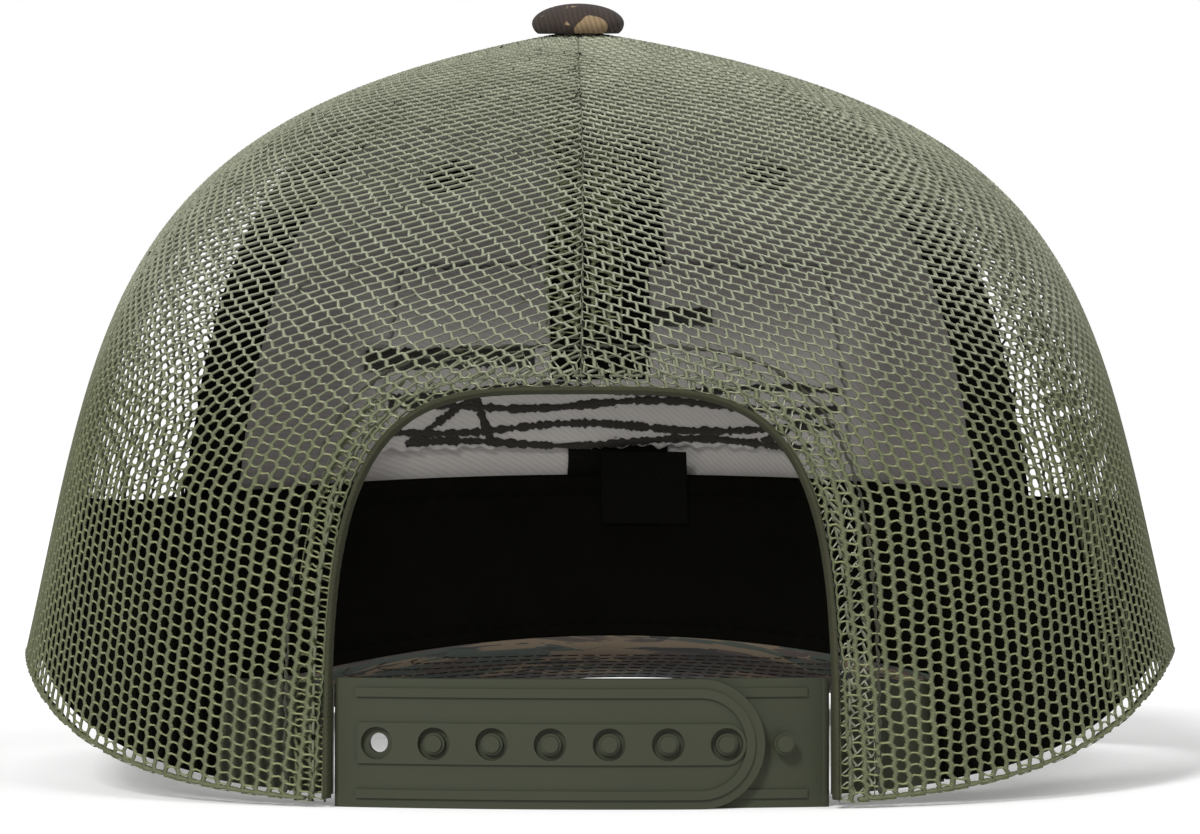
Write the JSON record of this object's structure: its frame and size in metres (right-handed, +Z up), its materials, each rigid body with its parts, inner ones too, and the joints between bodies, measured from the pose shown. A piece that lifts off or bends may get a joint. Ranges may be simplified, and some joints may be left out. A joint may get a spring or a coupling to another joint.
{
  "type": "trucker mesh cap",
  "caption": "Six-panel cap with camouflage front and visor, open mesh sides and back, and an adjustable snap closure.",
  "frame": {"origin": "centre of the bounding box's base, on the table that the cap rests on", "axes": "+Y from the closure to the visor, +Z up, +X to the right seen from behind; the head opening is pitched 5.8 degrees, high at the visor"},
  "size_m": [0.191, 0.2652, 0.1265],
  "materials": {
    "camo_twill": "four-tone woodland twill, matt",
    "buckram": "stiff woven lining, matt",
    "olive_mesh": "open knitted polyester mesh, satin yarn",
    "black_tape": "woven tape, matt",
    "olive_binding": "folded tape, matt",
    "sweatband_cloth": "brushed cotton twill, matt",
    "sweatband_foam": "thin foam",
    "visor_board": "moulded sheet",
    "motif_thread": "satin-stitch thread",
    "white_backing": "tear-away non-woven",
    "woven_label": "woven, blank",
    "plated_steel": "plated",
    "dark_thread": "buttonhole stitch",
    "olive_plastic": "moulded flexible plastic, low sheen"
  },
  "bodies": {
    "crown": {"front_panel_left": "camo_twill", "front_panel_right": "camo_twill", "buckram_left": "buckram", "buckram_right": "buckram", "side_mesh_left": "olive_mesh", "side_mesh_right": "olive_mesh", "rear_mesh_left": "olive_mesh", "rear_mesh_right": "olive_mesh", "seam_tape_front_centre": "black_tape", "seam_tape_front_left": "black_tape", "seam_tape_front_right": "black_tape", "seam_rear_left": "olive_mesh", "seam_rear_right": "olive_mesh", "seam_rear_centre": "olive_mesh", "hem_left": "olive_mesh", "hem_right": "olive_mesh", "opening_facing": "olive_mesh", "opening_binding": "olive_binding", "sweatband_backing": "sweatband_cloth", "sweatband_foam": "sweatband_foam", "sweatband_cover": "sweatband_cloth", "visor_board": "visor_board", "visor_top_cover": "camo_twill", "visor_under_cover": "camo_twill", "front_embroidery": "motif_thread", "embroidery_backing": "white_backing", "size_label": "woven_label", "button_cover": "camo_twill", "button_shell": "plated_steel", "button_prong": "plated_steel", "eyelet_left": "dark_thread", "eyelet_right": "dark_thread", "hole_strap_tab": "olive_plastic", "peg_strap_tab": "olive_plastic"},
    "hole_strap": {"hole_strap": "olive_plastic"},
    "peg_strap": {"peg_strap": "olive_plastic"}
  },
  "joints": [
    {"name": "hole_strap_hinge", "type": "hinge", "parent": "crown", "child": "hole_strap", "pos_m": [-0.0356, -0.12694, 0.0095], "axis": [0, 0, -1], "range_deg": [0, 80]},
    {"name": "peg_strap_hinge", "type": "hinge", "parent": "crown", "child": "peg_strap", "pos_m": [0.0356, -0.12473, 0.0095], "axis": [0, 0, -1], "range_deg": [0, 80]}
  ]
}
